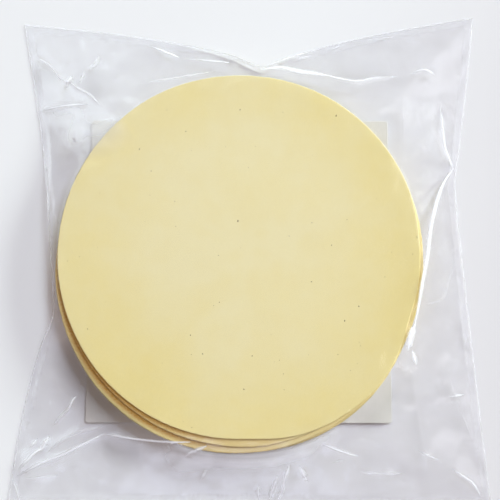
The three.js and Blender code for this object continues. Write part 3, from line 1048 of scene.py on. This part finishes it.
def film_ripple(plan):
    """Soft random unevenness of the film, mostly between -1 and 1, at places in millimetres."""
    random = np.random.default_rng(RIPPLE_SEED)
    ripple = np.zeros(len(plan))
    for _ in range(RIPPLE_WAVES):
        heading, phase = random.uniform(0, 2 * math.pi, 2)
        pace = 2 * math.pi / random.uniform(*RIPPLE_LENGTHS)
        ripple += np.sin(pace * (plan @ toward(heading)) + phase)
    return ripple / math.sqrt(RIPPLE_WAVES)


def beside(path, away):
    """A path moved sideways, to its left."""
    along = np.gradient(path, axis=0)
    along /= np.linalg.norm(along, axis=1)[:, None]
    return path + away * np.column_stack([-along[:, 1], along[:, 0]])


def inside(plan, outline):
    """Whether each place lies inside a closed outline."""
    after = np.roll(outline, -1, axis=0)
    within = np.zeros(len(plan), bool)
    for (x0, y0), (x1, y1) in zip(outline, after):
        level = (y0 > plan[:, 1]) != (y1 > plan[:, 1])
        crossing = x0 + (plan[:, 1] - y0) / (y1 - y0 + 1e-12) * (x1 - x0)
        within ^= level & (plan[:, 0] < crossing)
    return within


def lattice(outline, spacing):
    """Places in a triangular pattern over the box of an outline."""
    low, high = outline.min(axis=0), outline.max(axis=0)
    rows = np.arange(low[1], high[1], spacing * math.sqrt(0.75))
    columns = np.arange(low[0], high[0], spacing)
    grid = []
    for i, y in enumerate(rows):
        grid.append(np.column_stack([columns + spacing / 2 * (i % 2), np.full(len(columns), y)]))
    return np.concatenate(grid)


def sheet(outline, paths, loose, fill):
    """Triangles over an outline with edges along the paths. The outline's points come first, in order."""
    fixed = np.concatenate([loose, *paths])
    loose = loose[inside(loose, outline) & (edge_room(loose, outline) > LOOSE_ROOM)]
    tree = KDTree(len(fixed))
    for i, (x, y) in enumerate(fixed):
        tree.insert((x, y, 0), i)
    tree.balance()
    fill = fill[inside(fill, outline) & (edge_room(fill, outline) > FILL_ROOM)]
    fill = fill[[tree.find((x, y, 0))[2] > FILL_GAP for x, y in fill]]
    edges = [(i, (i + 1) % len(outline)) for i in range(len(outline))]
    before = len(outline)
    for path in paths:
        edges += [(before + i, before + i + 1) for i in range(len(path) - 1)]
        before += len(path)
    places = [Vector(place) for place in np.concatenate([outline, *paths, loose, fill])]
    made, _, faces, *_ = delaunay_2d_cdt(places, edges, [], 0, SAME_PLACE, False)
    made, faces = np.array(made), np.array(faces)
    faces = faces[inside(made[faces].mean(axis=1), outline)]
    used = np.unique(faces)
    return made[used], np.searchsorted(used, faces)


def film_heights(plan, outline, creases, look, dough):
    """Heights of the bag's front and back sheets in millimetres, and the film's whiteness, partly painted
    highlights and sheen, and its painted shade.
    """

    def edge_reach(centre, turn):
        ring = outline - centre
        bearing = np.arctan2(ring[:, 1], ring[:, 0])
        return np.interp(turn, bearing, np.linalg.norm(ring, axis=1), period=2 * math.pi)

    out = plan - PLAN_MIDDLE
    reach = np.linalg.norm(out, axis=1)
    room = edge_reach(PLAN_MIDDLE, np.arctan2(out[:, 1], out[:, 0]))
    tight = 1 - smooth_step(room - PLAN_RADIUS, *TIGHT_ROOM)
    edge = (look.edge_height + look.edge_lift * tight) / MM
    seal = look.seal_width / MM * (1 - tight)
    front = edge.copy()
    for node in PAPADUM_NODES:
        low, high = (np.array(corner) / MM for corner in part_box(node))
        centre = (low + high)[:2] / 2
        away = plan - centre
        turn = np.arctan2(away[:, 1], away[:, 0])
        rim = (high - low)[:2].sum() / 4 + RIM_CLEARANCE + rim_bend(turn, dough, node == TOP_NODE)
        span = np.maximum(edge_reach(centre, turn) - seal - rim, LEAST_SPAN)
        share = np.clip((np.linalg.norm(away, axis=1) - rim) / span, 0, 1)
        fall = (1 - share) ** (1 + look.sag * smooth_step(span, *SAG_SPANS))
        front = np.maximum(front, edge + (high[2] + look.roof_gap / MM - edge) * fall)
    ripple = film_ripple(out)
    height, white, shade = crease_relief(out, creases)
    height += look.ripple / MM * np.clip(ripple + 1, 0, 2)
    # Painted sheen and painted shade in patches over the uneven film.
    patches = look.patches * ripple * smooth_step(reach, *PATCH_START)
    white, shade = white + np.clip(patches, 0, 1), shade + np.clip(-patches / 2, 0, 1)
    slack = np.clip((room - reach) / EDGE_SLACK, 0, 1) * smooth_step(reach, *ROOF_SLACK)
    border = edge_room(plan, outline)
    welded = look.seal_white * np.clip((seal - border) / EDGE_LINE, 0, 1)
    # Painted highlight along the cut edge.
    edge_highlight = look.edge_white * np.clip(1 - border / EDGE_LINE, 0, 1)
    white = np.maximum(np.maximum(white, welded), edge_highlight)
    back = BACK_HEIGHT + (edge - BACK_HEIGHT) * np.clip(1 - border / EDGE_CURL, 0, 1) ** 2
    return front + height * slack, back, white, shade


def film_sheets(outline, creases, look, dough):
    """Points and triangles of the front sheet on the plan, fine along creases and rims, and of the back."""
    crests = [crease.way + PLAN_MIDDLE for crease in creases]
    strips = []
    for crest, crease in zip(crests, creases):
        width = line_width(crease, np.linspace(0, 1, len(crest)))[:, None]
        strips += [beside(crest, away) for away in (width, -width, CREST_REACH, -CREST_REACH)]
    turns = np.linspace(0, 2 * math.pi, RING_STEPS, endpoint=False)
    circle = np.column_stack([np.cos(turns), np.sin(turns)])
    rim = (PLAN_RADIUS + rim_bend(turns, dough, True))[:, None]
    rims = [PLAN_MIDDLE + circle * (rim + away) for away in RINGS_AT_RIM]
    closed = np.concatenate([outline, outline[:1]])
    seal = look.seal_width / MM
    borders = [beside(closed, away)[:-1] for away in (EDGE_LINE, EDGE_CURL, seal, seal + EDGE_LINE)]
    fine = lattice(outline, look.spacing / MM)
    coarse = lattice(outline, COARSER * look.spacing / MM)
    fill = np.concatenate([
        fine[np.linalg.norm(fine - PLAN_MIDDLE, axis=1) > FINE_FROM],
        coarse[np.linalg.norm(coarse - PLAN_MIDDLE, axis=1) < COARSE_TO],
    ])
    front = sheet(outline, crests, np.concatenate(strips + rims + borders), fill)
    back = sheet(outline, [], np.concatenate(borders), coarse)
    return front, back


class PAPADUM_OT_film(bpy.types.Operator):
    """Makes the clear film bag as one closed skin, welded round its edge"""

    bl_idname = "papadum_bag.film"
    bl_label = "Film bag"

    def execute(self, context):
        look = context.scene.papadum_bag.film
        dough = context.scene.papadum_bag.papadum
        steps = np.linspace(0, 1, SIDE_STEPS + 1)
        outline = np.concatenate([along_path(side, steps)[:-1] for side in bag_outline()]) / MM
        creases = film_creases(look.crinkles, outline - PLAN_MIDDLE)
        (front_plan, front_faces), (back_plan, back_faces) = film_sheets(outline, creases, look, dough)
        count = len(outline)
        if np.abs(front_plan[:count] - back_plan[:count]).max() > SHARED_EDGE:
            raise RuntimeError("the bag's two sheets don't share their edge")
        front, _, white, shade = film_heights(front_plan, outline, creases, look, dough)
        _, back, _, _ = film_heights(back_plan[count:], outline, creases, look, dough)
        points = np.concatenate([
            np.column_stack([front_plan, front]),
            np.column_stack([back_plan[count:], back]),
        ])
        back_index = np.concatenate([np.arange(count), len(front_plan) + np.arange(len(back))])
        back_faces = back_index[upward(back_plan, back_faces)[:, ::-1]]
        faces = np.concatenate([upward(front_plan, front_faces), back_faces])
        mesh = mesh_from("film_bag", points * MM, faces, film_material(look))
        clear = np.zeros(len(back))
        mark_points(mesh, "white", np.concatenate([white, clear]))
        mark_points(mesh, "shade", np.concatenate([shade, clear]))
        self.sharpen_edge(mesh, count)
        piece = add_object("film_bag", mesh)
        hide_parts("bag_front", "bag_back")
        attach(piece, BODY)
        return {"FINISHED"}

    def sharpen_edge(self, mesh, count):
        """Keeps the welded edge sharp. Its points are the mesh's first ones, in order."""
        ends = np.zeros(2 * len(mesh.edges), np.int32)
        mesh.edges.foreach_get("vertices", ends)
        ends = np.sort(ends.reshape(-1, 2), axis=1)
        step = ends[:, 1] - ends[:, 0]
        sharp = (ends[:, 1] < count) & ((step == 1) | (step == count - 1))
        mesh.attributes.new("sharp_edge", "BOOLEAN", "EDGE").data.foreach_set("value", sharp)


def upward(plan, faces):
    """Triangles on the plan, each turned to run counter-clockwise."""
    a, b, c = (plan[faces[:, i]] for i in range(3))
    clockwise = np.cross(b - a, c - a) < 0
    return np.where(clockwise[:, None], faces[:, ::-1], faces)


def aim(thing, place, target):
    """Puts a camera or lamp at a place, looking at a target."""
    thing.location = place
    thing.rotation_euler = (Vector(target) - Vector(place)).to_track_quat("-Z", "Y").to_euler()


FLOOR_HALF = 1.5
SENSOR_WIDTH = 36.0
CLIP_START = 0.01


class PAPADUM_OT_stage(bpy.types.Operator):
    """Makes the floor, the light and the camera"""

    bl_idname = "papadum_bag.stage"
    bl_label = "Stage"

    def execute(self, context):
        look = context.scene.papadum_bag.stage
        scene = context.scene
        scene.view_settings.view_transform = "Standard"
        self.add_floor(look)
        self.add_light(scene, look)
        self.add_camera(scene, look)
        return {"FINISHED"}

    def add_floor(self, look):
        corners = FLOOR_HALF * np.array([[-1, -1, 0], [1, -1, 0], [1, 1, 0], [-1, 1, 0]])
        mesh = mesh_from("floor", corners, np.array([[0, 1, 2, 3]]), floor_material(look))
        floor = add_object("floor", mesh)

    def add_light(self, scene, look):
        scene.world = bpy.data.worlds.new("even white room")
        scene.world.use_nodes = True
        scene.world.node_tree.nodes.clear()
        start = Wire(scene.world.node_tree)
        seen = start.node("ShaderNodeLightPath", output="Is Camera Ray")
        fill = start.node("ShaderNodeBackground", None, {"Color": opaque(look.fill)})
        wall = start.node("ShaderNodeBackground", None, {"Color": opaque(look.wall)})
        room = start.node("ShaderNodeMixShader", None, {0: seen, 1: fill, 2: wall})
        start.node("ShaderNodeOutputWorld", None, {"Surface": room})
        for lamp in LAMPS:
            self.add_lamp(lamp)

    def add_lamp(self, lamp):
        """Adds a lamp as a square light that faces the origin. Its azimuth runs from +X towards +Y."""
        azimuth, elevation = math.radians(lamp.azimuth), math.radians(lamp.elevation)
        light = bpy.data.lights.new(lamp.name, "AREA")
        light.size = LAMP_DISTANCE * math.radians(lamp.width)
        light.energy = math.pi**2 * LAMP_DISTANCE**2 / math.sin(elevation)
        light.color = lamp.light
        level = math.cos(elevation)
        way = Vector((math.cos(azimuth) * level, math.sin(azimuth) * level, math.sin(elevation)))
        piece = add_object(lamp.name, light)
        piece.visible_glossy = lamp.gleam
        piece.visible_diffuse = not lamp.gleam
        piece.visible_camera = False
        aim(piece, way * LAMP_DISTANCE, (0, 0, 0))

    def add_camera(self, scene, look):
        camera = bpy.data.cameras.new("camera")
        camera.sensor_width = SENSOR_WIDTH
        camera.lens = camera.sensor_width * look.camera_distance / look.frame_width
        camera.clip_start = CLIP_START
        viewer = add_object("camera", camera)
        across, along = look.camera_aim
        target = Vector((STACK_MIDDLE.x + across, STACK_MIDDLE.y + along, TOP_HIGH.z))
        lean = Vector((0, -math.sin(look.camera_tilt), math.cos(look.camera_tilt)))
        aim(viewer, target + lean * look.camera_distance, target)
        scene.camera = viewer


class PAPADUM_PT_panel(bpy.types.Panel):
    """Lists the steps that build the bag of papadums"""

    bl_idname = "PAPADUM_PT_panel"
    bl_label = "Bag of papadums"
    bl_space_type = "VIEW_3D"
    bl_region_type = "UI"
    bl_category = "Papadums"

    def draw(self, context):
        for step in STEPS:
            self.layout.operator(step.bl_idname)


STEPS = (PAPADUM_OT_papadums, PAPADUM_OT_card, PAPADUM_OT_film, PAPADUM_OT_stage)
CLASSES = (FilmLook, PapadumLook, CardLook, StageLook, BagSettings, *STEPS, PAPADUM_PT_panel)


def register():
    for cls in CLASSES:
        bpy.utils.register_class(cls)
    bpy.types.Scene.papadum_bag = PointerProperty(type=BagSettings)


def unregister():
    del bpy.types.Scene.papadum_bag
    for cls in reversed(CLASSES):
        bpy.utils.unregister_class(cls)


def main():
    register()
    bpy.ops.papadum_bag.papadums()
    bpy.ops.papadum_bag.card()
    bpy.ops.papadum_bag.film()
    bpy.ops.papadum_bag.stage()


if __name__ == "__main__":
    main()
